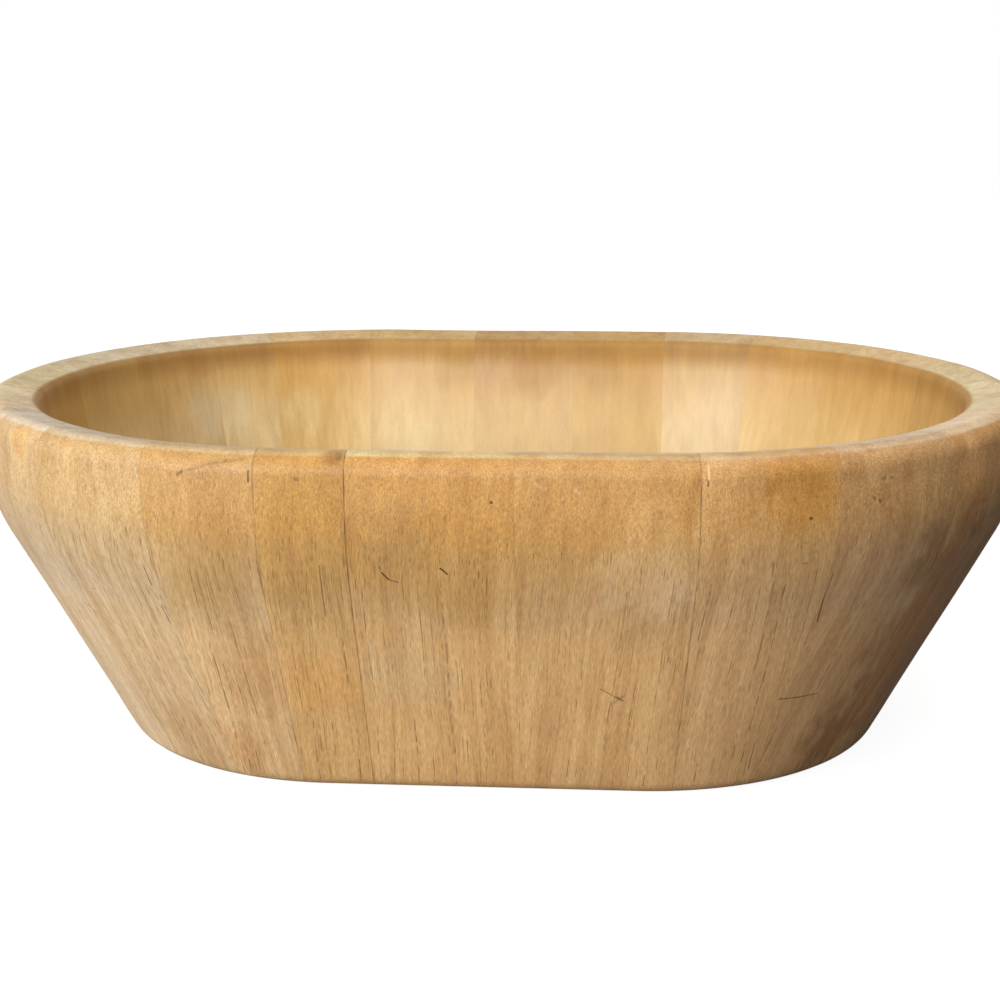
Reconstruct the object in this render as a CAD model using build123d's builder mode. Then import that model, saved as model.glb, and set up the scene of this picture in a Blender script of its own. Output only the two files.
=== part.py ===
from build123d import *

import os
from math import atan, atan2, cos, hypot, radians, sin, tan

# Oblong staved wooden bowl: mitred wall staves round a panel of edge-glued base boards.
# Millimetres, +Z up, long axis along X, origin at the middle of the base on the table.

os.makedirs("parts", exist_ok=True)

# Overall form
bowl_length = 400.0
bowl_width = 288.0
bowl_height = 135.0
wall_lean = 28.0  # degrees from upright

# Rim, wall and foot
rim_width = 22.0  # from the widest point in to the hollow
rim_fall = 11.0  # degrees by which the top of the rim slopes down to the hollow
rim_round = 7.5
rim_inner_round = 4.0
band_height = 33.5  # from the top of the rim down to where its upright outside meets the leaning wall
shoulder_round = 70.0  # where the leaning wall turns upright
wall_thickness = 20.0  # square to the outside, at the level of the floor
inside_bow = 8.0  # how far the inside of the wall curves out from a straight line
cove_radius = 14.0
cove_land = 1.5  # level strip between the cove and the base panel
foot_round = 10.0

# Base panel
floor_level = 20.0
panel_thickness = 16.0
middle_board_width = 46.0
tongue_level = 8.0
tongue_thickness = 7.0
tongue_length = 7.0
panel_clearance = 0.2

# Mitres between the staves: shares of each straight side, and headings round each end.
# A heading is in degrees from -Y, anticlockwise seen from above.
front_shares = (0.155, 0.645)
right_headings = (8.0, 27.0, 48.0, 69.0, 91.0, 114.0, 136.0, 158.4, 176.3)
back_shares = (0.29, 0.69)
left_headings = (186.0, 206.5, 219.8, 239.0, 258.0, 279.0, 300.0, 319.0, 338.7, 355.0)
front_heading = 0.0
back_heading = 180.0
full_turn = 360.0

# Outline: two half circles joined by straight sides
rim_radius = bowl_width / 2
straight_half = (bowl_length - bowl_width) / 2

# Outside of the wall: a leaning line from the foot, turned upright below the rim
lean_slope = tan(radians(wall_lean))
lean_stretch = 1 / cos(radians(wall_lean))
shoulder_level = bowl_height - band_height
foot_corner = rim_radius - shoulder_level * lean_slope

# Top of the rim: a line that slopes to the hollow, tangent to the round of the outer edge
fall_slope = tan(radians(rim_fall))
fall_stretch = 1 / cos(radians(rim_fall))
rim_peak = bowl_height + rim_round * (fall_slope + fall_stretch - 1)
lip_level = rim_peak - rim_width * fall_slope

# Inside of the wall: a bowed line from the rim to the floor, with a cove at its foot
rim_inside = rim_radius - rim_width
floor_corner = foot_corner + floor_level * lean_slope - wall_thickness * lean_stretch
inside_run = rim_inside - floor_corner
inside_rise = lip_level - floor_level
half_chord = hypot(inside_run, inside_rise) / 2
lean_at_floor = atan2(inside_run, inside_rise) + 2 * atan(inside_bow / half_chord)
cove_reach = cove_radius * tan((radians(90) - lean_at_floor) / 2)
panel_seat = floor_corner - cove_reach - cove_land

# Groove round the foot of the wall. The panel's tongue rests on the groove's lower face.
groove_bottom = panel_seat + tongue_length + panel_clearance
groove_top = tongue_level + tongue_thickness + panel_clearance

# Upright section of the wall: X is the distance out from the middle line, Y is the height
with BuildSketch() as wall_section:
    with BuildLine():
        rim_top = Line((rim_radius, rim_peak), (rim_inside, lip_level))
        inside = SagittaArc(rim_top @ 1, (floor_corner, floor_level), inside_bow)
        Polyline(
            inside @ 1,
            (panel_seat, floor_level),
            (panel_seat, groove_top),
            (groove_bottom, groove_top),
            (groove_bottom, tongue_level),
            (panel_seat, tongue_level),
            (panel_seat, 0),
            (foot_corner, 0),
            (rim_radius, shoulder_level),
            rim_top @ 0,
        )
    make_face()
    section_rounds = (
        ((rim_radius, rim_peak), rim_round),
        ((rim_radius, shoulder_level), shoulder_round),
        ((rim_inside, lip_level), rim_inner_round),
        ((floor_corner, floor_level), cove_radius),
        ((foot_corner, 0), foot_round),
    )
    for corner, radius in section_rounds:
        fillet(wall_section.vertices().sort_by_distance(corner)[0], radius)


def section_plane(x, heading):
    """Upright plane through the middle line at x, its X axis pointing out along the heading."""
    outwards = (sin(radians(heading)), -cos(radians(heading)), 0)
    against_travel = (-cos(radians(heading)), -sin(radians(heading)), 0)
    return Plane(origin=(x, 0, 0), x_dir=outwards, z_dir=against_travel)


def straight_stretch(start_x, end_x, heading):
    """Run the wall section along a straight side."""
    with BuildSketch(section_plane(start_x, heading)) as placed:
        add(wall_section.sketch)
    extrude(placed.sketch, amount=-abs(end_x - start_x))


def round_stretch(x, start_heading, end_heading):
    """Turn the wall section about the upright axis of an end."""
    with BuildSketch(section_plane(x, start_heading)) as placed:
        add(wall_section.sketch)
    end_axis = Axis((x, 0, 0), (0, 0, 1))
    revolve(placed.sketch, axis=end_axis, revolution_arc=end_heading - start_heading)


# Mitres in order round the bowl, each as its side, its X on the middle line and its heading
straight_length = 2 * straight_half
mitres = [("front", -straight_half + share * straight_length, front_heading) for share in front_shares]
mitres += [("right", straight_half, heading) for heading in right_headings]
mitres += [("back", straight_half - share * straight_length, back_heading) for share in back_shares]
mitres += [("left", -straight_half, heading) for heading in left_headings]

# Wall staves, each from its own mitre to the next one
side_counts = {}
for index, (side, start_x, start_heading) in enumerate(mitres):
    end_side, end_x, end_heading = mitres[(index + 1) % len(mitres)]
    if side == "left" and end_side == "front":
        end_heading += full_turn
    side_counts[side] = side_counts.get(side, 0) + 1
    stave_name = f"{side}_stave_{side_counts[side]}"
    with BuildPart() as stave:
        if side in ("front", "back"):
            straight_stretch(start_x, end_x, start_heading)
            if end_heading != start_heading:
                round_stretch(end_x, start_heading, end_heading)
        else:
            round_stretch(start_x, start_heading, end_heading)
            if end_x != start_x:
                straight_stretch(start_x, end_x, end_heading)
    stave.part.label = stave_name
    export_step(stave.part, f"parts/{stave_name}.step")

# Base boards: strips of one panel, level with the floor, with a tongue round the panel's edge
panel_underside = floor_level - panel_thickness
shoulder_radius = panel_seat - panel_clearance
tongue_radius = panel_seat + tongue_length
outer_board_width = tongue_radius - middle_board_width / 2
board_offset = (middle_board_width + outer_board_width) / 2
boards = (
    ("base_board_front", -board_offset, outer_board_width),
    ("base_board_middle", 0.0, middle_board_width),
    ("base_board_back", board_offset, outer_board_width),
)
for board_name, board_y, board_width in boards:
    with BuildPart() as board:
        layers = (
            (panel_underside, panel_thickness, shoulder_radius),
            (tongue_level, tongue_thickness, tongue_radius),
        )
        for level, thickness, radius in layers:
            with BuildSketch(Plane.XY.offset(level)):
                SlotCenterToCenter(straight_length, 2 * radius)
                with Locations((0, board_y)):
                    Rectangle(bowl_length, board_width, mode=Mode.INTERSECT)
            extrude(amount=thickness)
    board.part.label = board_name
    export_step(board.part, f"parts/{board_name}.step")
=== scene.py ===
from math import atan2, cos, hypot, pi, radians, sin, sqrt, tan

import bpy
import numpy as np
from mathutils import Matrix, Vector


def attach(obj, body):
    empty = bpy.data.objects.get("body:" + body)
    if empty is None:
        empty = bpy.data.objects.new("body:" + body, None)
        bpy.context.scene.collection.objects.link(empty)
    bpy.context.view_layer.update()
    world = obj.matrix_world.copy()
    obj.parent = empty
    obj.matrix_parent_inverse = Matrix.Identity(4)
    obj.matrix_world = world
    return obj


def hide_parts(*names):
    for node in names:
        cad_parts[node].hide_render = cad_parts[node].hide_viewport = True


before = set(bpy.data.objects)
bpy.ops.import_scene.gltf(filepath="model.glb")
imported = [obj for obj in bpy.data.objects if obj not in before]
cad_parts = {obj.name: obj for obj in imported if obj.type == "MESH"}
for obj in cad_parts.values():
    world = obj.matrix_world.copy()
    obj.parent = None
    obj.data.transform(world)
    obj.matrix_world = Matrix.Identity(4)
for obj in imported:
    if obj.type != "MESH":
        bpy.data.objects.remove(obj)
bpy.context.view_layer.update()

# Oblong staved wooden bowl: mitred wall staves round a panel of three base boards.
# Lengths are in millimetres here and turn to metres where a mesh, lamp or camera is made.
MM = 0.001

# Form of the bowl
bowl_length = 400.0
bowl_width = 288.0
bowl_height = 135.0
wall_lean = radians(28.0)
rim_width = 22.0
rim_fall = radians(11.0)
rim_round = 7.5
rim_inner_round = 4.0
band_height = 33.5
shoulder_round = 70.0
wall_thickness = 20.0
inside_bow = 8.0
cove_radius = 14.0
cove_land = 1.5
foot_round = 10.0
floor_level = 20.0
panel_thickness = 16.0
middle_board_width = 46.0
tongue_level = 8.0
tongue_thickness = 7.0
tongue_length = 7.0
panel_clearance = 0.2

# Mitres, as in the solids: shares of each straight side, and headings round each end.
# A heading is in degrees from -Y, anticlockwise seen from above.
front_shares = (0.155, 0.645)
right_headings = (8.0, 27.0, 48.0, 69.0, 91.0, 114.0, 136.0, 158.4, 176.3)
back_shares = (0.29, 0.69)
left_headings = (186.0, 206.5, 219.8, 239.0, 258.0, 279.0, 300.0, 319.0, 338.7, 355.0)
front_heading = 0.0
back_heading = 180.0
full_turn = 360.0

# Fineness of the meshes
section_step = 1.6
column_step = 1.6
round_step = 0.5
least_arc_steps = 4
least_run = 0.01  # a shorter run of the wall gets no columns of its own
least_run_columns = 2
edge_support = 0.12  # between the two columns beside a mitre
board_end_points = 40  # round each end of a base board

# Hand work: slow waves over the wall, each as radians a millimetre along X, Y and Z, and a phase
hand_waves = ((0.031, 0.047, 0.050, 0.3), (0.083, -0.061, 0.072, 1.9), (-0.052, 0.118, 0.131, 4.1))
hand_depth = 0.05
hand_level = 12.0  # height where it begins
hand_rise = 10.0  # from there to where it is full
most_sunk = 0.06  # how far a whole stave may lie deeper than its neighbours
board_ease = 0.35  # along the edges of a base board

# Where the looks of the hollow and of the rim begin on the section, and where no hand work reaches
hollow_margin = 3.0  # out from the inner edge of the rim
hollow_fade = 1.6
rim_facing = 0.80  # upward part of the outward direction
rim_fade = 0.07
floor_slack = 0.1  # below the floor's level, still counted as hollow
foot_margin = 1.0  # height of the foot that is left unworked
groove_reach = 8.0  # from the panel's seat to past the bottom of the groove

# A range below has the values where it starts and ends, and what it gives there.
# A pair of shares is for the outside and for the hollow.

# Colours of the wood. Each board multiplies the two tones by its own.
pale_tone = np.array((0.79, 0.485, 0.212))
deep_tone = np.array((0.58, 0.315, 0.118))
pore_colour = (0.17, 0.075, 0.022, 1)
glue_colour = (0.13, 0.06, 0.02, 1)
scuff_colour = (0.86, 0.70, 0.44, 1)
mark_colour = (0.075, 0.034, 0.012, 1)

# Run of the fibre: how it wanders across the board, waves through it and bends at the shoulder.
# Sizes of noise are across, through and along the fibre.
wander_sizes = (34, 34, 95)
wander_reach = 7.0
wave_sizes = (13, 13, 38)
wave_reach = 1.6
bend_start = 21.0  # along the board from its middle
bend_share = 0.6  # of the bend that the shoulder's round has

# Kinds of variation in the wood. Streaks, bands, fibres and blotches mix the pale tone and the deep one
# by their shares, and specks and sand lighten or darken what comes of that.
broad_sizes = (7.5, 7.5, 230)
band_sizes = (2.3, 2.3, 95)
fibre_sizes = (0.8, 0.8, 21)
speck_sizes = (0.34, 0.34, 3.2)
sand_sizes = (0.55, 0.55, 1.0)
blotch_sizes = (24, 24, 42)
plain_detail = (1.0, 0.5)  # detail and roughness of the noise
usual_detail = (2.0, 0.5)
sand_detail = (2.0, 0.6)
fibre_detail = (3.0, 0.6)
noise_middle = 0.5
even_mix = 0.5
broad_share = 1.6
band_share = 1.3
streak_shares = (1.0, 0.6)
fibre_shares = (1.15, 0.32)
blotch_shares = (0.6, 1.3)
speck_share = 0.8
fleck_shares = (1.0, 0.2)
sand_on_end_grain = (0.1, 0.5, 0.1, 0.95)
sand_on_rim = (0.0, 1.0, 1.0, 0.4)

# Vessels of two kinds, each with its spacing, its widest bore as a share of that, and its depth
vessels = ((1.25, 0.20, 0.85), (0.58, 0.27, 0.72))
least_bore = 0.04
least_depth = 0.3  # as a share of the kind's depth
bore_edge = (0.45, 1.2, 1.0, 0.0)
vessel_break_sizes = (1.1, 1.1, 4.5)
vessel_breaks = (0.3, 0.62, 0.15, 1.15)
vessel_shares = (1.0, 0.12)
vessels_on_end_grain = (0.15, 0.5, 1.0, 0.55)
vessel_strength = 0.85

# Darker oil high on the outside, partly the oil's own tone and partly painted shade that offsets the
# stronger light on the upright band: how ragged its lower edge is, where it rises and thins, and its tint
oil_and_shade_ragged = 55.0
oil_and_shade_rise = (58.0, 108.0)
oil_and_shade_thins = (121.0, 132.0, 1.0, 0.94)
oil_and_shade_tint = (0.71, 0.61, 0.37)

# Greyed strip across the lower part of that oiled and shaded band
grey_ragged = 20.0
grey_rise = (62.0, 82.0)
grey_fall = (98.0, 114.0, 1.0, 0.0)
grey_tint = (0.94, 1.0, 1.16)

# Hollow: paler and greyer than the outside, partly its own paler wood and partly painted sheen of its
# gloss; painted shade towards its top and under its lip
hollow_tone_and_sheen_tint = (1.0, 1.17, 1.2)
shade_ragged = 22.0
shade_rise = (88.0, 124.0)
shade_tint = (0.76, 0.64, 0.46)
lip_ragged = 7.0
lip_rise = (119.0, 129.0)
lip_shade_tint = (0.60, 0.49, 0.33)

# Bleached top of the rim, partly worn wood and partly painted sheen of light reflected off it, less so in
# dark blotches
bleach_and_sheen_by_blotch = (-0.2, 0.1, 0.7, 1.0)
bleach_and_sheen_tint = (1.33, 1.94, 3.4)

# Glue lines: width beside the mitre, breaks, fading down the wall, and share in the hollow
glue_width = (0.05, 0.38, 1.0, 0.0)
glue_break_sizes = (5, 5, 9)
glue_breaks = (0.38, 0.6, 0.35, 1.0)
glue_by_height = (45.0, 112.0, 0.7, 1.0)
glue_shares = (1.0, 0.12)

# How far the roughness and the relief follow what is in the wood
lip_roughness = 0.3
blotch_roughness = 0.15
fibre_roughness = 0.12
pore_roughness = 0.15
pore_relief = -1.0
fibre_relief = 0.25
speck_relief = 0.15
mark_relief = -4.0
relief_depth = 0.05

# Patches and marks. Depth counts for less in a mark, so that it holds on a worn face.
patch_edge_sizes = (7, 7, 12)
patch_ragged = 1.2  # as a share of its reach
patch_core = 0.35
mark_squeeze = (1.0, 0.15, 1.0)
mark_core = 0.25

# What differs from board to board by chance
draw = np.random.default_rng(7)
seed_reach = 500
tone_spread = 0.05
hue_spread = 0.02
lean_spread = 0.04
pores_span = (0.85, 1.1)
streaks_span = (0.8, 1.2)

# Studio, in metres and in shares of full white, from the left to the right
white = (1, 1, 1, 1)
floor_half = 40.0
floor_colour = (0.17, 0.17, 0.17, 1)
floor_white = (0.35, 1.1, 0.93, 1.0)  # as the camera sees it, by the distance from the bowl
floor_shine = (-0.3, 0.3, 0.3, 0.05)
fill_light = (-0.6, 0.5, 0.05, 0.0)
shine_light = (-0.8, 0.7, 0.8, 0.05)
warm_light = (1, 0.98, 0.95)
cool_light = (0.9, 0.98, 1)
plain_light = (1, 1, 1)

# Camera: its distance from the point that it looks at, its angles and its lens
camera_distance = 779.5
camera_aim = (0.0, 0.0, 87.07)
camera_climb = radians(13.10)
camera_heading = radians(-4.70)
camera_roll = radians(-0.25)
focal_share = 1.9711  # focal length over the width of the picture
sensor_width = 36.0

# Derived section of the wall, as (distance out from the middle line, height)
rim_radius = bowl_width / 2
straight_half = (bowl_length - bowl_width) / 2
lean_slope = tan(wall_lean)
shoulder_level = bowl_height - band_height
foot_corner = rim_radius - shoulder_level * lean_slope
rim_inside = rim_radius - rim_width
lip_level = bowl_height + rim_round * (tan(rim_fall) + 1 / cos(rim_fall) - 1) - rim_width * tan(rim_fall)
floor_corner = foot_corner + floor_level * lean_slope - wall_thickness / cos(wall_lean)


def line(start, end):
    """Points along a straight run of the section, without its last one."""
    count = max(1, round(hypot(end[0] - start[0], end[1] - start[1]) / section_step))
    share = np.arange(count)[:, None] / count
    return np.array(start) * (1 - share) + np.array(end) * share


def arc(centre, radius, start, end, step=section_step):
    """Points along an arc of the section, without its last one."""
    count = max(least_arc_steps, round(radius * abs(end - start) / step))
    turn = start + (end - start) * np.arange(count) / count
    return np.stack((centre[0] + radius * np.cos(turn), centre[1] + radius * np.sin(turn)), axis=1)


def wall_section():
    """The wall's closed section from the foot, up the outside and down the inside, and the panel's seat."""
    run, rise = rim_inside - floor_corner, lip_level - floor_level
    half_chord = hypot(run, rise) / 2
    bow_radius = (half_chord ** 2 + inside_bow ** 2) / (2 * inside_bow)
    back = (bow_radius - inside_bow) / (2 * half_chord)
    bow = ((rim_inside + floor_corner) / 2 - rise * back, (lip_level + floor_level) / 2 + run * back)
    edge = np.array((rim_radius - rim_round, bowl_height - rim_round))
    rim_up = np.array((-sin(rim_fall), cos(rim_fall)))
    rim_in = np.array((-cos(rim_fall), -sin(rim_fall)))
    reach = edge + (rim_round - rim_inner_round) * rim_up - bow
    nearing = -reach @ rim_in
    crossing = sqrt(nearing ** 2 - reach @ reach + (bow_radius + rim_inner_round) ** 2)
    lip = bow + reach + rim_in * (nearing - crossing)
    cove_z = floor_level + cove_radius
    cove = (bow[0] + sqrt((bow_radius - cove_radius) ** 2 - (cove_z - bow[1]) ** 2), cove_z)
    foot = (foot_corner - foot_round * (1 - sin(wall_lean)) / cos(wall_lean), foot_round)
    shoulder = (rim_radius - shoulder_round, shoulder_level + shoulder_round * tan(wall_lean / 2))
    seat = cove[0] - cove_land
    groove_bottom = seat + tongue_length + panel_clearance
    groove_top = tongue_level + tongue_thickness + panel_clearance
    lip_turn = atan2(lip[1] - bow[1], lip[0] - bow[0])
    cove_turn = atan2(cove[1] - bow[1], cove[0] - bow[0])
    lean_out = np.array((cos(wall_lean), -sin(wall_lean)))
    runs = (
        line((seat, 0), (foot[0], 0)),
        arc(foot, foot_round, -pi / 2, -wall_lean),
        line(foot + foot_round * lean_out, shoulder + shoulder_round * lean_out),
        arc(shoulder, shoulder_round, -wall_lean, 0),
        line((rim_radius, shoulder[1]), (rim_radius, edge[1])),
        arc(edge, rim_round, 0, pi / 2 + rim_fall, round_step),
        line(edge + rim_round * rim_up, lip + rim_inner_round * rim_up),
        arc(lip, rim_inner_round, pi / 2 + rim_fall, lip_turn + pi, round_step),
        arc(bow, bow_radius, lip_turn, cove_turn),
        arc(cove, cove_radius, cove_turn, -pi / 2),
        line((cove[0], floor_level), (seat, floor_level)),
        np.array(((seat, floor_level), (seat, groove_top), (groove_bottom, groove_top))),
        np.array(((groove_bottom, tongue_level), (seat, tongue_level))),
    )
    return np.concatenate(runs), seat


# At each point of the section: the outward direction, and how far it is hollow, rim or worked at all
section, panel_seat = wall_section()
tangent = np.roll(section, -1, axis=0) - np.roll(section, 1, axis=0)
outward = np.stack((tangent[:, 1], -tangent[:, 0]), axis=1) / np.hypot(*tangent.T)[:, None]
past_rim = np.arange(len(section)) > np.argmax(section[:, 1])
in_hollow = np.clip((rim_inside + hollow_margin - section[:, 0]) / hollow_fade, 0, 1)
in_hollow *= past_rim & (section[:, 1] > floor_level - floor_slack)
on_rim = np.clip((outward[:, 1] - rim_facing) / rim_fade, 0, 1) * (1 - in_hollow)
on_rim *= section[:, 1] > lip_level - rim_inner_round
in_groove = (section[:, 0] < panel_seat + groove_reach) & (section[:, 1] < floor_level)
worked = np.where((section[:, 1] > foot_margin) & ~in_groove, 1.0, 0.0)


def heading_axes(heading):
    """Unit vectors outwards and along the travel at one heading or many."""
    turn = np.radians(heading)
    zero = np.zeros_like(turn)
    outwards = np.stack((np.sin(turn), -np.cos(turn), zero), -1)
    along = np.stack((np.cos(turn), np.sin(turn), zero), -1)
    return outwards, along


def hand_work(points):
    """How far hand sanding has taken the wall inwards at each point."""
    return hand_depth * sum(1 + np.sin(points @ np.array(turns) + phase) for *turns, phase in hand_waves)


def mesh_object(name, points, faces, board, attributes=None):
    """A mesh object from points in bowl millimetres, with each point's place in its own board kept."""
    origin, axes = board
    mesh = bpy.data.meshes.new(name)
    mesh.from_pydata((points * MM).tolist(), [], faces)
    place = mesh.attributes.new("board", "FLOAT_VECTOR", "POINT")
    place.data.foreach_set("vector", ((points - origin) @ np.array(axes).T).astype(np.float32).ravel())
    for key, values in (attributes or {}).items():
        layer = mesh.attributes.new(key, "FLOAT", "POINT")
        layer.data.foreach_set("value", np.ascontiguousarray(values, dtype=np.float32).ravel())
    mesh.update()
    piece = bpy.data.objects.new(name, mesh)
    bpy.context.scene.collection.objects.link(piece)
    return piece


def mitre_list():
    """Mitres in order round the bowl: side, X on the middle line, heading."""
    length = 2 * straight_half
    mitres = [("front", -straight_half + share * length, front_heading) for share in front_shares]
    mitres += [("right", straight_half, heading) for heading in right_headings]
    mitres += [("back", straight_half - share * length, back_heading) for share in back_shares]
    mitres += [("left", -straight_half, heading) for heading in left_headings]
    return mitres


def stave_path(start, end, start_ease, end_ease):
    """Columns of a stave as arrays of X and heading, with two close to each mitre for its eased edge."""
    (side, x0, h0), (end_side, x1, h1) = start, end
    if side == "left" and end_side == "front":
        h1 += full_turn
    corner = (x1, h0) if side in ("front", "back") else (x0, h1)
    xs, hs = [x0], [h0]
    for (xa, ha), (xb, hb) in (((x0, h0), corner), (corner, (x1, h1))):
        run = abs(xb - xa) + rim_radius * radians(abs(hb - ha))
        if run < least_run:
            continue
        count = max(least_run_columns, round(run / column_step))
        share = np.arange(1, count + 1) / count
        xs += list(xa + (xb - xa) * share)
        hs += list(ha + (hb - ha) * share)
    xs, hs = np.array(xs), np.array(hs)
    for end_index, inner, spot, ease in ((-1, -2, len(xs) - 1, end_ease), (0, 1, 1, start_ease)):
        dx, dh = xs[inner] - xs[end_index], hs[inner] - hs[end_index]
        shares = np.array((ease, ease + edge_support)) / (abs(dx) + rim_radius * radians(abs(dh)))
        shares = shares[::-1] if end_index else shares
        xs = np.insert(xs, spot, xs[end_index] + dx * shares)
        hs = np.insert(hs, spot, hs[end_index] + dh * shares)
    return xs, hs


def mitre_distances(xs, hs):
    """How far each point of a stave lies from its two mitres, and which column is in the middle."""
    radius = section[:, 0]
    flat = np.cumsum(np.abs(np.diff(xs, prepend=xs[0])))
    turned = np.cumsum(np.radians(np.abs(np.diff(hs, prepend=hs[0]))))
    from_start = flat[:, None] + turned[:, None] * radius
    from_end = (flat[-1] - flat)[:, None] + (turned[-1] - turned)[:, None] * radius
    along_rim = flat + turned * rim_radius
    return from_start, from_end, np.argmin(np.abs(along_rim - along_rim[-1] / 2))


def stave_board(x, heading):
    """Origin and axes of the board that a stave is cut from: across, through and along its fibre."""
    away, along = heading_axes(heading)
    fibre = away * sin(wall_lean) + np.array((0, 0, cos(wall_lean)))
    origin = np.array((x, 0, 0)) + away * (foot_corner + bowl_height / 2 * lean_slope)
    origin[2] += bowl_height / 2
    return origin, (along, np.cross(fibre, along), fibre)


def stave_faces(columns, rows):
    """Faces from column to column all round the section, and the two mitred faces last."""
    faces = []
    for column in range(columns - 1):
        a, b = column * rows, (column + 1) * rows
        for row in range(rows):
            next_row = (row + 1) % rows
            faces.append((a + row, b + row, b + next_row, a + next_row))
    faces.append(tuple(range(rows)))
    faces.append(tuple(range((columns - 1) * rows, columns * rows))[::-1])
    return faces


def make_stave(name, start, end, start_seam, end_seam, sunk):
    """One stave: the wall section carried from mitre to mitre, with its arrises eased."""
    (start_ease, start_glue), (end_ease, end_glue) = start_seam, end_seam
    xs, hs = stave_path(start, end, start_ease, end_ease)
    grid = (len(xs), len(section))
    out, _ = heading_axes(hs)
    up = np.array((0, 0, 1.0))
    radius, height = section[:, 0], section[:, 1]
    normal = out[:, None, :] * outward[None, :, :1] + up * outward[None, :, 1:]
    place = out[:, None, :] * radius[None, :, None] + up * height[None, :, None]
    place[..., 0] += xs[:, None]
    inset = (hand_work(place) + sunk) * np.clip((height - hand_level) / hand_rise, 0, 1) * worked
    inset[0] += start_ease * worked * (1 - in_hollow)
    inset[-1] += end_ease * worked * (1 - in_hollow)
    place -= normal * inset[..., None]
    from_start, from_end, middle = mitre_distances(xs, hs)
    origin, axes = stave_board(xs[middle], hs[middle])
    attributes = {
        "to_mitre": np.minimum(from_start, from_end),
        "glue": np.where(from_start < from_end, start_glue, end_glue),
        "hollow": np.broadcast_to(in_hollow, grid),
        "rim": np.broadcast_to(on_rim, grid),
        "end_grain": np.abs(normal @ axes[2]),
    }
    faces = stave_faces(*grid)
    piece = mesh_object(name, place.reshape(-1, 3), faces, (origin, axes), attributes)
    smooth = np.ones(len(faces), dtype=bool)
    smooth[-2:] = False
    piece.data.polygons.foreach_set("use_smooth", smooth)
    return piece


def board_outline(radius, low, high, inset):
    """Plan of a base board: the oblong of this radius between two straight edges, drawn in by inset."""
    radius = radius - inset
    low, high = max(low + inset, -radius), min(high - inset, radius)
    end_turn = np.linspace(np.arcsin(low / radius), np.arcsin(high / radius), board_end_points)
    tip = np.stack((straight_half + radius * np.cos(end_turn), radius * np.sin(end_turn)), axis=1)
    return np.concatenate((tip, (tip * (-1, 1))[::-1]))


def make_board(name, low, high):
    """One base board: level plan outlines joined in turn from the underside to the top."""
    under = floor_level - panel_thickness
    shoulder = panel_seat - panel_clearance
    tongue = panel_seat + tongue_length
    tongue_top = tongue_level + tongue_thickness
    levels = (
        (under, shoulder, board_ease),
        (under + board_ease, shoulder, 0),
        (tongue_level, shoulder, 0),
        (tongue_level, tongue, 0),
        (tongue_top, tongue, 0),
        (tongue_top, shoulder, 0),
        (floor_level - board_ease, shoulder, 0),
        (floor_level, shoulder, board_ease),
    )
    rings = []
    for level, radius, inset in levels:
        plan = board_outline(radius, low, high, inset)
        rings.append(np.column_stack((plan, np.full(len(plan), level))))
    count = len(rings[0])
    faces = [tuple(range(count))[::-1], tuple(range((len(rings) - 1) * count, len(rings) * count))]
    for ring in range(len(rings) - 1):
        a, b = ring * count, (ring + 1) * count
        for point in range(count):
            following = (point + 1) % count
            faces.append((a + point, a + following, b + following, b + point))
    middle = (max(low, -tongue) + min(high, tongue)) / 2
    board = (np.array((0, middle, floor_level)), ((0, 1, 0), (0, 0, 1), (1, 0, 0)))
    return mesh_object(name, np.concatenate(rings), faces, board)


def node(tree, kind, inputs=None, **settings):
    """A node with its settings and inputs, where an input is a value or another node's output."""
    made = tree.nodes.new(kind)
    for key, value in settings.items():
        setattr(made, key, value)
    for key, value in (inputs or {}).items():
        if isinstance(value, bpy.types.NodeSocket):
            tree.links.new(value, made.inputs[key])
        else:
            made.inputs[key].default_value = value
    return made


def calc(tree, operation, *values, clamp=False):
    """The output of a Math node."""
    inputs = dict(enumerate(values))
    return node(tree, "ShaderNodeMath", inputs, operation=operation, use_clamp=clamp).outputs[0]


def times(tree, first, second, clamp=False):
    """The product of two values."""
    return calc(tree, "MULTIPLY", first, second, clamp=clamp)


def plus(tree, base, value, share, clamp=False):
    """A base value with a share of another one added."""
    return calc(tree, "MULTIPLY_ADD", value, share, base, clamp=clamp)


def vector_calc(tree, operation, first, second, output="Vector"):
    """The vector or the value that a Vector Math node gives."""
    return node(tree, "ShaderNodeVectorMath", {0: first, 1: second}, operation=operation).outputs[output]


def scaled(tree, vector, scale):
    """A vector or colour multiplied by one value."""
    return node(tree, "ShaderNodeVectorMath", {0: vector, "Scale": scale}, operation="SCALE").outputs[0]


def parts_of(tree, vector):
    """The X, Y and Z of a vector."""
    return node(tree, "ShaderNodeSeparateXYZ", {0: vector}).outputs


def ramp(tree, value, low, high, out_low=0.0, out_high=1.0):
    """A value's way from low to high, eased, mapped and held between two outputs."""
    inputs = {0: value, 1: low, 2: high, 3: out_low, 4: out_high}
    return node(tree, "ShaderNodeMapRange", inputs, interpolation_type="SMOOTHSTEP").outputs[0]


def blend(tree, factor, first, second, kind="MIX"):
    """The colour output of a Mix node."""
    inputs = {0: factor, 6: first, 7: second}
    return node(tree, "ShaderNodeMix", inputs, data_type="RGBA", blend_type=kind).outputs[2]


def between(tree, share, first, second):
    """A value on its way from one value to another."""
    return node(tree, "ShaderNodeMix", {0: share, 2: first, 3: second}).outputs[0]


def tinted(tree, share, colour, tint):
    """A colour multiplied by a tint, by a share from 0 to 1."""
    return blend(tree, share, colour, (*tint, 1), "MULTIPLY")


def noise(tree, vector, sizes, detail=usual_detail):
    """Noise whose features are about as large as the given sizes across, through and along the board."""
    place = vector_calc(tree, "MULTIPLY", vector, [1 / size for size in sizes])
    inputs = {"Vector": place, "Scale": 1.0, "Detail": detail[0], "Roughness": detail[1]}
    return node(tree, "ShaderNodeTexNoise", inputs).outputs[0]


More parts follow.
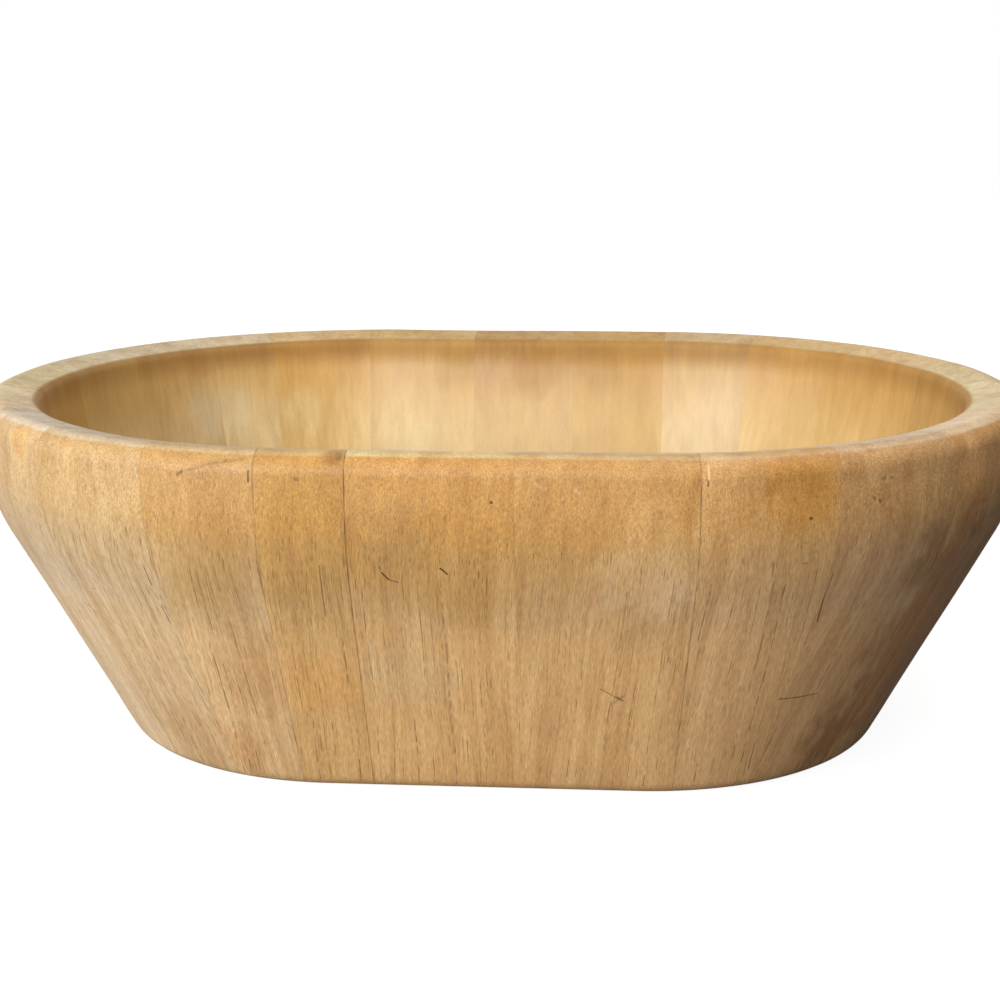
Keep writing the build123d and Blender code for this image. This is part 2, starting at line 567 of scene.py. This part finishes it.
def swing(tree, vector, sizes, detail=usual_detail):
    """Noise of these sizes that swings about nought."""
    return calc(tree, "SUBTRACT", noise(tree, vector, sizes, detail), noise_middle)


def attribute(tree, name, output="Fac"):
    """An attribute of the mesh, as a value or a vector."""
    return node(tree, "ShaderNodeAttribute", attribute_name=name).outputs[output]


def by_hollow(tree, outside, inside):
    """One value on the outside that turns to another in the hollow."""
    return ramp(tree, attribute(tree, "hollow"), 0.0, 1.0, outside, inside)


def ragged_rise(tree, height, blotch, ragged, heights):
    """A rise between two heights whose edge the blotches move up and down."""
    return ramp(tree, plus(tree, height, blotch, ragged), *heights)


def grain_space(tree, given, board, seeded):
    """The place in the board with its fibre made straight, where it leans, wanders and bends."""
    across, through, along = parts_of(tree, board)
    wander = swing(tree, seeded, wander_sizes, plain_detail)
    upright = plus(tree, across, times(tree, given["Lean"], along), -1.0)
    fibre_x = plus(tree, upright, wander, wander_reach)
    past_shoulder = calc(tree, "MAXIMUM", calc(tree, "SUBTRACT", along, bend_start), 0.0)
    bend = times(tree, past_shoulder, past_shoulder)
    bend = times(tree, bend, -bend_share / (2 * shoulder_round))
    waves = swing(tree, seeded, wave_sizes, plain_detail)
    fibre_y = calc(tree, "ADD", plus(tree, through, waves, wave_reach), bend)
    grain = node(tree, "ShaderNodeCombineXYZ", {0: fibre_x, 1: fibre_y, 2: along}).outputs[0]
    return vector_calc(tree, "ADD", grain, given["Seed"])


def vessel_pores(tree, given, grain):
    """Long thin vessels, cut to lines on the faces and to dots on the end grain, and worn in the hollow."""
    breaks = ramp(tree, noise(tree, grain, vessel_break_sizes, plain_detail), *vessel_breaks)
    pores = 0.0
    for spacing, widest, depth in vessels:
        cells = vector_calc(tree, "MULTIPLY", grain, (1 / spacing, 1 / spacing, 0))
        found = node(tree, "ShaderNodeTexVoronoi", {"Vector": cells, "Scale": 1.0}, voronoi_dimensions="2D")
        chance = node(tree, "ShaderNodeSeparateColor", {0: found.outputs["Color"]}).outputs
        bore = times(tree, ramp(tree, chance[0], 0.0, 1.0, least_bore, widest), breaks)
        bore = times(tree, bore, given["Pores"])
        cut = ramp(tree, calc(tree, "DIVIDE", found.outputs["Distance"], bore), *bore_edge)
        cut = times(tree, cut, ramp(tree, chance[1], 0.0, 1.0, least_depth * depth, depth))
        pores = calc(tree, "MAXIMUM", pores, cut)
    pores = times(tree, pores, by_hollow(tree, *vessel_shares))
    return times(tree, pores, ramp(tree, attribute(tree, "end_grain"), *vessels_on_end_grain))


def mixed_tones(tree, given, grain, fibre, blotch):
    """The pale tone and the deep one, mixed in broad and narrow streaks, fibres and blotches."""
    streaks = times(tree, given["Streaks"], by_hollow(tree, *streak_shares))
    broad = times(tree, swing(tree, grain, broad_sizes), streaks)
    band = times(tree, swing(tree, grain, band_sizes), streaks)
    mixing = plus(tree, even_mix, broad, broad_share)
    mixing = plus(tree, mixing, band, band_share)
    mixing = plus(tree, mixing, fibre, by_hollow(tree, *fibre_shares))
    mixing = plus(tree, mixing, blotch, by_hollow(tree, *blotch_shares), clamp=True)
    return blend(tree, mixing, given["Deep"], given["Pale"])


def flecked(tree, colour, seeded, speck):
    """A colour with fine specks along the fibre, and sandy flecks where the end grain shows."""
    sand = swing(tree, seeded, sand_sizes, sand_detail)
    sand = times(tree, sand, ramp(tree, attribute(tree, "end_grain"), *sand_on_end_grain))
    sand = times(tree, sand, ramp(tree, attribute(tree, "rim"), *sand_on_rim))
    flecks = plus(tree, sand, speck, speck_share)
    return scaled(tree, colour, plus(tree, 1.0, flecks, by_hollow(tree, *fleck_shares)))


def worn_and_painted_light_tints(tree, given, colour, height, blotch, lip):
    """A colour with the oil and the grey of the outside, the oil partly painted shade, the tints of the
    hollow with painted sheen and painted shade, and the bleached rim with painted sheen.
    """
    hollow = attribute(tree, "hollow")
    outside = calc(tree, "SUBTRACT", 1.0, hollow)
    # Oil band: partly painted shade that darkens the top of the outside where more light falls on it
    oiled_and_shaded = ragged_rise(tree, height, blotch, oil_and_shade_ragged, oil_and_shade_rise)
    oiled_and_shaded = times(tree, oiled_and_shaded, ramp(tree, height, *oil_and_shade_thins))
    oiled_and_shaded = times(tree, times(tree, oiled_and_shaded, outside), given["Band"], clamp=True)
    colour = tinted(tree, oiled_and_shaded, colour, oil_and_shade_tint)
    greyed = ragged_rise(tree, height, blotch, grey_ragged, grey_rise)
    greyed = times(tree, greyed, ramp(tree, height, *grey_fall))
    colour = tinted(tree, times(tree, greyed, outside), colour, grey_tint)
    # Hollow tint: partly paler wood, partly painted sheen
    colour = tinted(tree, hollow, colour, hollow_tone_and_sheen_tint)
    # Painted shade towards the top of the hollow
    shaded = ragged_rise(tree, height, blotch, shade_ragged, shade_rise)
    colour = tinted(tree, times(tree, shaded, hollow), colour, shade_tint)
    # Painted shade under the lip of the hollow
    colour = tinted(tree, times(tree, lip, given["Lip"]), colour, lip_shade_tint)
    # Pale rim top: partly worn wood, partly painted sheen of reflected light
    bleached_and_sheen = times(tree, attribute(tree, "rim"), ramp(tree, blotch, *bleach_and_sheen_by_blotch))
    return tinted(tree, times(tree, bleached_and_sheen, given["Bleach And Sheen"]), colour, bleach_and_sheen_tint)


def glue_line(tree, seeded, height):
    """How dark the glue is at a mitre: broken, fainter down the wall and nearly gone in the hollow."""
    seam = times(tree, ramp(tree, attribute(tree, "to_mitre"), *glue_width), attribute(tree, "glue"))
    seam = times(tree, seam, ramp(tree, noise(tree, seeded, glue_break_sizes), *glue_breaks))
    seam = times(tree, seam, ramp(tree, height, *glue_by_height))
    return times(tree, seam, by_hollow(tree, *glue_shares))


def wood_roughness(tree, given, lip, blotch, fibre, pores):
    """The roughness of the outside, rim and hollow, varied with what is in the wood."""
    roughness = between(tree, attribute(tree, "rim"), given["Outer Roughness"], given["Rim Roughness"])
    roughness = between(tree, attribute(tree, "hollow"), roughness, given["Inner Roughness"])
    roughness = plus(tree, roughness, lip, lip_roughness)
    roughness = plus(tree, roughness, blotch, blotch_roughness)
    roughness = plus(tree, roughness, fibre, fibre_roughness)
    return plus(tree, roughness, pores, pore_roughness)


def make_wood_group():
    """Oiled wood in a board's own millimetres: X across, Y through and Z along the fibre."""
    tree = bpy.data.node_groups.new("oiled_wood", "ShaderNodeTree")
    inputs = {"Seed": "NodeSocketVector", "Pale": "NodeSocketColor", "Deep": "NodeSocketColor"}
    numbers = ("Lean", "Pores", "Streaks", "Band", "Bleach And Sheen", "Lip")
    numbers += ("Outer Roughness", "Rim Roughness", "Inner Roughness")
    inputs |= {name: "NodeSocketFloat" for name in numbers}
    outputs = {"Color": "NodeSocketColor", "Roughness": "NodeSocketFloat", "Height": "NodeSocketFloat"}
    for way, sockets in (("INPUT", inputs), ("OUTPUT", outputs)):
        for name, kind in sockets.items():
            tree.interface.new_socket(name, in_out=way, socket_type=kind)
    given = node(tree, "NodeGroupInput").outputs
    board = attribute(tree, "board", "Vector")
    seeded = vector_calc(tree, "ADD", board, given["Seed"])
    grain = grain_space(tree, given, board, seeded)
    pores = vessel_pores(tree, given, grain)
    fibre = swing(tree, grain, fibre_sizes, fibre_detail)
    speck = swing(tree, grain, speck_sizes, plain_detail)
    blotch = swing(tree, seeded, blotch_sizes)
    place = node(tree, "ShaderNodeTexCoord").outputs["Object"]
    height = calc(tree, "DIVIDE", parts_of(tree, place)[2], MM)
    lip = ragged_rise(tree, height, blotch, lip_ragged, lip_rise)
    lip = times(tree, lip, attribute(tree, "hollow"))
    colour = mixed_tones(tree, given, grain, fibre, blotch)
    colour = flecked(tree, colour, seeded, speck)
    colour = worn_and_painted_light_tints(tree, given, colour, height, blotch, lip)
    colour = blend(tree, times(tree, pores, vessel_strength), colour, pore_colour)
    colour = blend(tree, glue_line(tree, seeded, height), colour, glue_colour)
    roughness = wood_roughness(tree, given, lip, blotch, fibre, pores)
    relief = plus(tree, times(tree, pores, pore_relief), fibre, fibre_relief)
    relief = plus(tree, relief, speck, speck_relief)
    node(tree, "NodeGroupOutput", {"Color": colour, "Roughness": roughness, "Height": relief})
    return tree


def patch_share(tree, board, centre, reach):
    """How far a point of the board lies inside a soft patch with a ragged edge."""
    gap = vector_calc(tree, "DISTANCE", board, centre, "Value")
    gap = plus(tree, gap, swing(tree, board, patch_edge_sizes), patch_ragged * reach)
    return ramp(tree, gap, patch_core * reach, reach, 1.0, 0.0)


def mark_share(tree, board, start, end, width):
    """How far a point of the board lies inside a scratch or pit: 1 along its line, 0 beyond its width."""
    start, end = np.multiply(start, mark_squeeze), np.multiply(end, mark_squeeze)
    way = end - start
    offset = vector_calc(tree, "MULTIPLY", board, mark_squeeze)
    offset = vector_calc(tree, "SUBTRACT", offset, start)
    share = vector_calc(tree, "DOT_PRODUCT", offset, way, "Value")
    share = calc(tree, "DIVIDE", share, way @ way, clamp=True)
    gap = vector_calc(tree, "DISTANCE", offset, scaled(tree, way, share), "Value")
    return ramp(tree, gap, mark_core * width, width, 1.0, 0.0)


def wood_material(name, inputs, patches, scuffs, marks):
    """The wood of one board, with its own tones and grain, its soft patches, pale scuffs and dark marks."""
    material = bpy.data.materials.new(name)
    material.use_nodes = True
    tree = material.node_tree
    wood = node(tree, "ShaderNodeGroup", node_tree=wood_group)
    for key, value in inputs.items():
        wood.inputs[key].default_value = value
    colour, height = wood.outputs["Color"], wood.outputs["Height"]
    board = attribute(tree, "board", "Vector")
    for centre, reach, tint in patches:
        colour = tinted(tree, patch_share(tree, board, centre, reach), colour, tint)
    for start, end, width, depth in scuffs:
        rubbed = times(tree, mark_share(tree, board, start, end, width), depth)
        colour = blend(tree, rubbed, colour, scuff_colour)
    for start, end, width, depth in marks:
        hurt = times(tree, mark_share(tree, board, start, end, width), depth)
        colour = blend(tree, hurt, colour, mark_colour)
        height = plus(tree, height, hurt, mark_relief)
    relief = node(tree, "ShaderNodeBump", {"Height": height, "Distance": relief_depth * MM})
    shader = tree.nodes["Principled BSDF"]
    tree.links.new(colour, shader.inputs["Base Color"])
    tree.links.new(wood.outputs["Roughness"], shader.inputs["Roughness"])
    tree.links.new(relief.outputs[0], shader.inputs["Normal"])
    return material


# Looks of a board where nothing else is known of it. Band, bleach and sheen, and lip say how far the darker
# oil with its painted shade, the bleached rim with its painted sheen and the painted shade under the
# hollow's lip show; outer, rim and inner are the roughness there.
usual_looks = {
    "band": 0.7, "bleach_and_sheen": 1.0, "lip": 0.58, "outer": 0.56, "rim": 0.5, "inner": 0.38,
    "patches": (), "scuffs": (), "marks": (),
}

# What is known of each board. Its tone multiplies the colours of its wood, and pores and lean are those
# of its grain. A patch has a centre, a reach and a tint; a scuff or mark has a start, an end, a width and
# a depth. Places are across, through and along the board from its middle.
# Some tones and patches below are painted shade, painted highlight or painted sheen, as marked at each.
looks = {
    "left_stave_7": {
        # Bluish pale tone: partly painted sheen of the cool light from the left
        "tone": (1.02, 1.23, 1.74), "band": 0.5, "bleach_and_sheen": 0.42,
        "patches": (
            ((10.2, 13.5, 62.7), 9.0, (1.0, 0.88, 0.7)),
        ),
        "marks": (
            ((16.7, 1.0, 1.1), (20.5, 1.3, -0.5), 0.3, 0.5),
        ),
    },
    "left_stave_8": {
        # Bluish pale tone: partly painted sheen of the cool light from the left
        "pores": 1.3, "tone": (0.97, 1.13, 1.5), "band": 0.75, "bleach_and_sheen": 0.5,
        "patches": (
            ((-6.0, 3.0, 34.0), 32.0, (1.08, 1.12, 1.2)),
            ((8.0, 1.0, -58.0), 26.0, (0.86, 0.8, 0.72)),
        ),
        "marks": (
            ((-21.3, 1.6, -0.8), (-19.4, 1.3, -2.7), 0.3, 0.6),
            ((-19.4, 1.3, -2.7), (-15.0, 1.0, -5.0), 0.22, 0.5),
            ((-13.0, 0.5, 11.0), (-11.1, 0.4, 11.1), 0.35, 0.45),
        ),
    },
    "left_stave_9": {
        "pores": 1.3, "tone": (0.96, 1.04, 1.22), "band": 0.95, "bleach_and_sheen": 0.58,
        "patches": (
            ((8.0, 6.0, 47.0), 16.0, (0.96, 0.93, 0.88)),
            ((12.0, 0.0, -18.0), 26.0, (0.89, 0.83, 0.76)),
            ((-14.0, 1.0, -60.0), 20.0, (0.88, 0.8, 0.72)),
        ),
        "marks": (
            ((-5.8, 11.8, 60.3), (-4.2, 12.2, 61.3), 0.7, 0.5),
            ((-4.2, 12.2, 61.3), (5.2, 14.3, 63.7), 0.6, 0.22),
            ((5.2, 14.3, 63.7), (11.0, 15.4, 64.2), 0.55, 0.32),
            ((11.0, 15.4, 64.2), (17.6, 16.8, 64.4), 0.5, 0.26),
            ((19.1, 14.0, 61.8), (19.0, 12.3, 58.9), 0.4, 0.8),
        ),
    },
    "left_stave_10": {
        "pores": 1.25, "tone": (0.95, 0.96, 0.92), "band": 0.9, "bleach_and_sheen": 0.5,
        "patches": (
            ((0.0, 0.0, -22.0), 20.0, (1.02, 0.95, 0.85)),
            ((0.0, 9.0, 56.0), 18.0, (1.02, 1.02, 0.86)),
            ((10.8, 18.4, 65.5), 4.5, (0.76, 0.68, 0.58)),
        ),
        "marks": (
            ((-1.5, 11.6, 60.5), (-0.8, 11.7, 60.4), 0.9, 0.5),
            ((11.2, 20.1, 65.4), (12.9, 17.2, 65.3), 0.6, 0.3),
            ((5.0, 1.0, 32.6), (5.0, 0.0, 10.5), 0.35, 0.5),
        ),
    },
    "front_stave_1": {
        "tone": (1.02, 1.03, 1.05), "band": 1.0, "rim": 0.36,
        "patches": (
            ((-13.0, 2.0, 44.0), 19.0, (0.9, 0.93, 1.02)),
            ((-12.0, 0.0, -15.0), 24.0, (0.98, 1.06, 1.22)),
        ),
        "marks": (
            ((-16.2, 0.5, 30.2), (-14.1, 0.4, 27.5), 0.42, 1.0),
            ((-14.1, 0.4, 27.5), (-11.0, 0.2, 26.4), 0.25, 0.8),
            ((-17.0, 1.0, 32.6), (-16.6, 0.8, 31.4), 0.22, 0.7),
            ((3.2, 1.0, 32.4), (5.4, 0.6, 30.2), 0.42, 1.0),
            ((20.1, 8.6, 54.5), (20.4, 8.6, 54.4), 0.6, 0.9),
        ),
    },
    "front_stave_2": {
        "tone": (0.96, 0.97, 1.0), "band": 0.9, "bleach_and_sheen": 0.6, "rim": 0.4, "lean": 0.1,
        "patches": (
            ((18.0, 1.5, 32.0), 28.0, (1.17, 1.29, 1.62)),
        ),
        "scuffs": (
            ((-23.5, 11.3, 60.0), (-20.0, 10.6, 58.4), 0.9, 0.14),
            ((-10.6, 10.7, 58.2), (-9.4, 10.4, 57.6), 0.8, 0.18),
        ),
        "marks": (
            ((-2.8, 0.0, -21.8), (4.1, 0.0, -27.2), 0.34, 0.5),
            ((2.9, 0.0, -25.8), (4.6, 0.0, -27.2), 0.85, 0.5),
            ((5.3, 0.0, -24.8), (2.0, 0.0, -28.5), 0.4, 0.4),
        ),
    },
    "right_stave_1": {
        "tone": (0.99, 1.01, 1.1), "band": 0.72, "bleach_and_sheen": 0.4,
        "patches": (
            ((8.5, 10.0, 57.5), 21.0, (0.93, 0.84, 0.6)),
            ((-1.0, 11.0, 59.0), 5.0, (0.85, 0.78, 0.62)),
        ),
        "scuffs": (
            ((-21.2, 16.4, 63.7), (-21.5, 13.4, 60.2), 0.35, 0.7),
        ),
        "marks": (
            ((16.8, 1.2, -31.0), (22.0, 2.0, -31.2), 0.34, 0.75),
            ((13.1, 6.3, 48.4), (13.6, 6.3, 48.4), 0.6, 0.8),
            ((12.4, 1.5, 32.9), (14.2, 1.6, 32.8), 0.4, 0.4),
            ((-21.5, 13.4, 60.4), (-21.5, 12.6, 59.0), 0.4, 0.7),
        ),
    },
    "right_stave_2": {
        "tone": (0.95, 0.97, 1.1), "band": 0.5, "bleach_and_sheen": 0.45,
        "patches": (
            # Painted shade, warm in tone, on the right end where little light reaches
            ((27.0, 1.5, 28.0), 24.0, (0.74, 0.67, 0.58)),
            ((27.0, 1.0, -14.0), 26.0, (0.76, 0.69, 0.6)),
            ((24.0, 1.0, -58.0), 34.0, (0.6, 0.47, 0.32)),
        ),
        "marks": (
            ((-24.5, 2.3, 27.0), (-23.9, 2.0, 15.6), 0.35, 0.55),
            ((-23.9, 2.0, 15.6), (-22.1, 1.7, 5.5), 0.45, 0.7),
            ((-20.5, 1.6, -31.4), (-14.5, 0.8, -31.3), 0.34, 0.75),
            ((-14.5, 0.8, -31.3), (-6.4, 0.1, -30.6), 0.32, 0.75),
            ((-14.0, 8.3, 52.8), (-13.6, 8.2, 52.4), 0.7, 0.5),
            ((-11.8, 7.6, 51.8), (-11.4, 7.6, 51.4), 0.8, 0.6),
            ((-10.9, 11.0, 58.2), (-9.6, 11.0, 58.3), 0.7, 0.45),
            ((-7.2, 10.7, 58.3), (-6.7, 10.7, 58.3), 0.6, 0.45),
        ),
    },
    "left_stave_6": {"tone": (1.14, 1.15, 1.28)},
    "left_stave_4": {"tone": (1.06, 1.18, 1.42), "bleach_and_sheen": 0.85},
    "left_stave_3": {
        "tone": (1.02, 1.11, 1.34), "bleach_and_sheen": 0.85, "lip": 0.8,
        "patches": (
            ((-13.0, 26.0, 30.0), 15.0, (1.05, 1.18, 1.45)),
        ),
    },
    "left_stave_2": {
        "tone": (1.13, 1.27, 1.6), "bleach_and_sheen": 0.6, "lip": 1.0,
        "patches": (
            ((10.0, 26.0, 30.0), 16.0, (1.04, 1.14, 1.32)),
        ),
    },
    "left_stave_1": {
        "tone": (1.09, 1.12, 1.12), "bleach_and_sheen": 0.5, "lip": 0.9,
        "patches": (
            ((11.0, 25.0, 26.0), 13.0, (1.03, 1.1, 1.28)),
        ),
    },
    "back_stave_2": {
        "tone": (1.02, 1.05, 0.99), "bleach_and_sheen": 0.4,
        "patches": (
            # Painted highlight low in the hollow
            ((3.0, 22.0, 12.0), 18.0, (1.02, 1.09, 1.15)),
            # Painted shade high in the hollow, under the rim
            ((-17.0, 29.0, 44.0), 15.0, (0.9, 0.88, 0.82)),
        ),
    },
    "back_stave_1": {
        "tone": (0.94, 0.92, 0.82), "bleach_and_sheen": 0.35, "lip": 0.48,
        "patches": (
            # Painted shade high in the hollow, under the rim
            ((-4.0, 29.5, 44.0), 18.0, (0.87, 0.82, 0.68)),
        ),
    },
    "right_stave_9": {
        "tone": (0.95, 0.92, 0.73), "bleach_and_sheen": 0.35, "lip": 0.52,
        "patches": (
            # Painted shade high in the hollow, under the rim
            ((9.0, 29.5, 44.0), 14.0, (0.9, 0.9, 0.82)),
        ),
    },
    # Pale cool tone: partly paler wood and partly painted highlight of the gloss on this stave
    "right_stave_8": {"tone": (1.03, 1.11, 1.26), "lip": 0.7, "bleach_and_sheen": 0.4},
    "right_stave_7": {"tone": (1.06, 1.07, 1.02), "bleach_and_sheen": 0.5},
    "right_stave_6": {"tone": (1.1, 1.12, 1.12), "bleach_and_sheen": 0.6},
    "right_stave_3": {
        "tone": (1.04, 1.0, 1.04), "band": 0.5, "bleach_and_sheen": 0.75,
        "patches": (
            # Painted shade over the shadowed right end
            ((-14.0, 1.0, -12.0), 72.0, (0.74, 0.64, 0.52)),
            # Painted highlight high on the outside of the right end
            ((-16.0, 11.0, 57.0), 13.0, (1.22, 1.26, 1.4)),
        ),
    },
    "base_board_front": {"tone": (1.07, 1.24, 1.23), "pores": 0.6, "outer": 0.4},
    "base_board_middle": {"tone": (1.11, 1.29, 1.28), "pores": 0.65, "outer": 0.4},
    "base_board_back": {"tone": (1.05, 1.2, 1.18), "pores": 0.6, "outer": 0.4},
}


def board_wood(name, slot):
    """Tones and grain of a board: what is known of it, and the rest drawn in turn or usual."""
    seed = draw.uniform(-seed_reach, seed_reach, 3)
    tone = 1 + draw.uniform(-tone_spread, tone_spread) + draw.uniform(-hue_spread, hue_spread, 3)
    given = usual_looks | {"tone": tone}
    given["lean"] = draw.uniform(-lean_spread, lean_spread)
    given["pores"] = draw.uniform(*pores_span)
    given["streaks"] = draw.uniform(*streaks_span)
    given |= looks.get(name, {})
    inputs = {
        "Seed": seed,
        "Pale": (*(pale_tone * given["tone"]), 1),
        "Deep": (*(deep_tone * given["tone"]), 1),
        "Lean": given["lean"],
        "Pores": given["pores"],
        "Streaks": given["streaks"],
        "Band": given["band"],
        "Bleach And Sheen": given["bleach_and_sheen"],
        "Lip": given["lip"],
        "Outer Roughness": given["outer"],
        "Rim Roughness": given["rim"],
        "Inner Roughness": given["inner"],
    }
    return wood_material(f"{name}_{slot}", inputs, given["patches"], given["scuffs"], given["marks"])


# How open the mitre at each stave's start is, and how dark its glue line is
usual_seam = (0.015, 0.2)
seams = {
    "left_stave_10": (0.02, 0.62),
    "front_stave_1": (0.04, 0.87),
    "front_stave_2": (0.015, 0.15),
    "right_stave_1": (0.02, 0.65),
    "right_stave_2": (0.015, 0.15),
}

# Staves
wood_group = make_wood_group()
mitres = mitre_list()
names, counts = [], {}
for side, _, _ in mitres:
    counts[side] = counts.get(side, 0) + 1
    names.append(f"{side}_stave_{counts[side]}")
for index, name in enumerate(names):
    following = (index + 1) % len(names)
    ends = [seams.get(names[near], usual_seam) for near in (index, following)]
    sunk = draw.uniform(0, most_sunk)
    stave = make_stave(f"{name}_wood", mitres[index], mitres[following], *ends, sunk)
    stave.data.materials.append(board_wood(name, "stave_wood"))
    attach(stave, "root")
    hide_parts(name)

# Base boards
half_board = middle_board_width / 2
base_boards = (
    ("base_board_front", -rim_radius, -half_board),
    ("base_board_middle", -half_board, half_board),
    ("base_board_back", half_board, rim_radius),
)
for name, low, high in base_boards:
    board = make_board(f"{name}_wood", low, high)
    board.data.materials.append(board_wood(name, "base_wood"))
    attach(board, "root")
    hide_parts(name)


def ray_kinds(tree):
    """Whether a ray comes from the camera, and whether it comes from a reflection or through glass."""
    rays = node(tree, "ShaderNodeLightPath").outputs
    mirrored = calc(tree, "MAXIMUM", rays["Is Glossy Ray"], rays["Is Transmission Ray"])
    return rays["Is Camera Ray"], mirrored


def floor_material():
    """White to the camera, fainter in reflections, with the shadow kept."""
    material = bpy.data.materials.new("studio_floor")
    material.use_nodes = True
    tree = material.node_tree
    tree.nodes.clear()
    from_camera, mirrored = ray_kinds(tree)
    place = node(tree, "ShaderNodeTexCoord").outputs["Object"]
    away = node(tree, "ShaderNodeVectorMath", {0: place}, operation="LENGTH").outputs["Value"]
    seen = times(tree, from_camera, ramp(tree, away, *floor_white))
    glow = plus(tree, seen, mirrored, ramp(tree, parts_of(tree, place)[0], *floor_shine))
    paper = node(tree, "ShaderNodeBsdfDiffuse", {"Color": floor_colour})
    light = node(tree, "ShaderNodeEmission", {"Color": white, "Strength": glow})
    both = node(tree, "ShaderNodeAddShader", {0: paper.outputs[0], 1: light.outputs[0]})
    node(tree, "ShaderNodeOutputMaterial", {"Surface": both.outputs[0]})
    return material


def make_floor():
    """Pale floor, level with the foot of the bowl."""
    mesh = bpy.data.meshes.new("studio_floor")
    corners = [(x * floor_half, y * floor_half, 0) for x, y in ((-1, -1), (1, -1), (1, 1), (-1, 1))]
    mesh.from_pydata(corners, [], [(0, 1, 2, 3)])
    mesh.materials.append(floor_material())
    floor = bpy.data.objects.new("studio_floor", mesh)
    bpy.context.scene.collection.objects.link(floor)


def make_world():
    """White surroundings to the camera, and a fill light and reflections that fade towards +X."""
    world = bpy.data.worlds.new("studio")
    bpy.context.scene.world = world
    world.use_nodes = True
    tree = world.node_tree
    tree.nodes.clear()
    from_camera, mirrored = ray_kinds(tree)
    direction = node(tree, "ShaderNodeTexCoord").outputs["Generated"]
    side = parts_of(tree, direction)[0]
    fill = ramp(tree, side, *fill_light)
    shine = times(tree, mirrored, ramp(tree, side, *shine_light))
    level = calc(tree, "MAXIMUM", calc(tree, "MAXIMUM", fill, shine), from_camera)
    background = node(tree, "ShaderNodeBackground", {"Color": white, "Strength": level})
    node(tree, "ShaderNodeOutputWorld", {"Surface": background.outputs[0]})


def softbox(name, heading, climb, distance, size, level, colour):
    """A lamp twice as wide as it is high, facing the bowl.
    It is placed by a heading and a climb in degrees and a distance in metres, and at level 1 it lights a
    white surface that faces it to white."""
    out, _ = heading_axes(heading)
    away = Vector(out) * cos(radians(climb)) + Vector((0, 0, sin(radians(climb))))
    lamp = bpy.data.lights.new(name, "AREA")
    lamp.shape = "RECTANGLE"
    lamp.size = 2 * size
    lamp.size_y = size
    lamp.energy = level * (pi * distance) ** 2
    lamp.color = colour
    item = bpy.data.objects.new(name, lamp)
    item.location = Vector((0, 0, bowl_height * MM / 2)) + away * distance
    item.rotation_euler = away.to_track_quat("Z", "Y").to_euler()
    bpy.context.scene.collection.objects.link(item)
    return item


def make_lamps():
    """Soft light from the front left and from above, and weaker light for the left and the back.
    The back lamp shows in no reflection, and the rim lamp shows in nothing else."""
    softbox("key_lamp", heading=-20, climb=19, distance=1.7, size=0.7, level=1.03, colour=warm_light)
    softbox("left_lamp", heading=-57, climb=5, distance=1.7, size=0.5, level=0.40, colour=cool_light)
    softbox("top_lamp", heading=66, climb=73, distance=1.5, size=0.6, level=0.54, colour=warm_light)
    back = softbox("back_lamp", heading=170, climb=5, distance=1.7, size=0.6, level=0.45, colour=warm_light)
    back.visible_glossy = False
    rim = softbox("rim_lamp", heading=180, climb=12, distance=1.7, size=0.5, level=0.06, colour=plain_light)
    rim.visible_diffuse = False


def make_camera():
    """Camera in front of the bowl and a little above it."""
    level = cos(camera_climb)
    away = Vector((-sin(camera_heading) * level, -cos(camera_heading) * level, sin(camera_climb)))
    forward = -away
    right = forward.cross(Vector((0, 0, 1))).normalized()
    up = right.cross(forward)
    matrix = Matrix.Identity(4)
    matrix.col[0][:3] = right * cos(camera_roll) + up * sin(camera_roll)
    matrix.col[1][:3] = up * cos(camera_roll) - right * sin(camera_roll)
    matrix.col[2][:3] = away
    matrix.col[3][:3] = (Vector(camera_aim) + away * camera_distance) * MM
    data = bpy.data.cameras.new("camera")
    data.sensor_width = sensor_width
    data.lens = focal_share * sensor_width
    camera = bpy.data.objects.new("camera", data)
    camera.matrix_world = matrix
    bpy.context.scene.collection.objects.link(camera)
    bpy.context.scene.camera = camera


# Studio
make_floor()
make_world()
make_lamps()
make_camera()
bpy.context.scene.view_settings.view_transform = "Standard"
